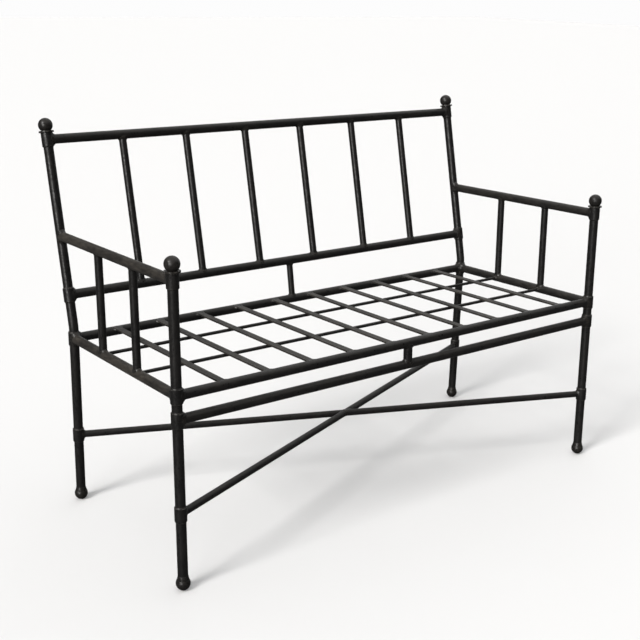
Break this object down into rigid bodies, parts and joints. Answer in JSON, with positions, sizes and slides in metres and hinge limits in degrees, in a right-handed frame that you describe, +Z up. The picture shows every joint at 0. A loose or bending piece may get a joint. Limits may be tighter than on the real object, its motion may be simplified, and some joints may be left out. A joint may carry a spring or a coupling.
{
  "type": "settee frame",
  "caption": "Welded round-tube two-seat settee frame with a spindle back, open spindle arms, a slatted seat, ball finials and ball feet.",
  "frame": {"origin": "on the floor, at the centre of the outer box seen from above", "axes": "+X to the right seen from in front, along the width; +Y towards the back; +Z up"},
  "size_m": [1.336, 0.6696, 0.9603],
  "materials": {
    "frame": "satin black powder coat on steel tube",
    "balls": "satin black powder coat on solid steel balls",
    "slats": "satin black powder coat on flat steel bar"
  },
  "bodies": {
    "root": {"front_post_left": "frame", "rear_post_left": "frame", "front_foot_left": "balls", "rear_foot_left": "balls", "front_finial_disc_left": "frame", "rear_finial_disc_left": "frame", "front_finial_ball_left": "balls", "rear_finial_ball_left": "balls", "front_sleeves_left": "frame", "rear_sleeves_left": "frame", "arm_rail_left": "frame", "seat_side_rail_left": "frame", "front_arm_spindle_left": "frame", "rear_arm_spindle_left": "frame", "front_post_right": "frame", "rear_post_right": "frame", "front_foot_right": "balls", "rear_foot_right": "balls", "front_finial_disc_right": "frame", "rear_finial_disc_right": "frame", "front_finial_ball_right": "balls", "rear_finial_ball_right": "balls", "front_sleeves_right": "frame", "rear_sleeves_right": "frame", "arm_rail_right": "frame", "seat_side_rail_right": "frame", "front_arm_spindle_right": "frame", "rear_arm_spindle_right": "frame", "top_rail": "frame", "lower_back_rail": "frame", "back_strut": "frame", "back_spindle_1": "frame", "back_spindle_2": "frame", "back_spindle_3": "frame", "back_spindle_4": "frame", "back_spindle_5": "frame", "back_spindle_6": "frame", "seat_front_rail": "frame", "seat_rear_rail": "frame", "lower_front_rail": "frame", "front_strut": "frame", "seat_slat_1": "slats", "seat_slat_2": "slats", "seat_slat_3": "slats", "seat_slat_4": "slats", "seat_slat_5": "slats", "seat_slat_6": "slats", "seat_slat_7": "slats", "seat_slat_8": "slats", "seat_slat_9": "slats", "seat_slat_10": "slats", "seat_rod_front": "frame", "seat_rod_rear": "frame", "brace_rod": "frame", "brace_half_front": "frame", "brace_half_rear": "frame"}
  },
  "joints": []
}
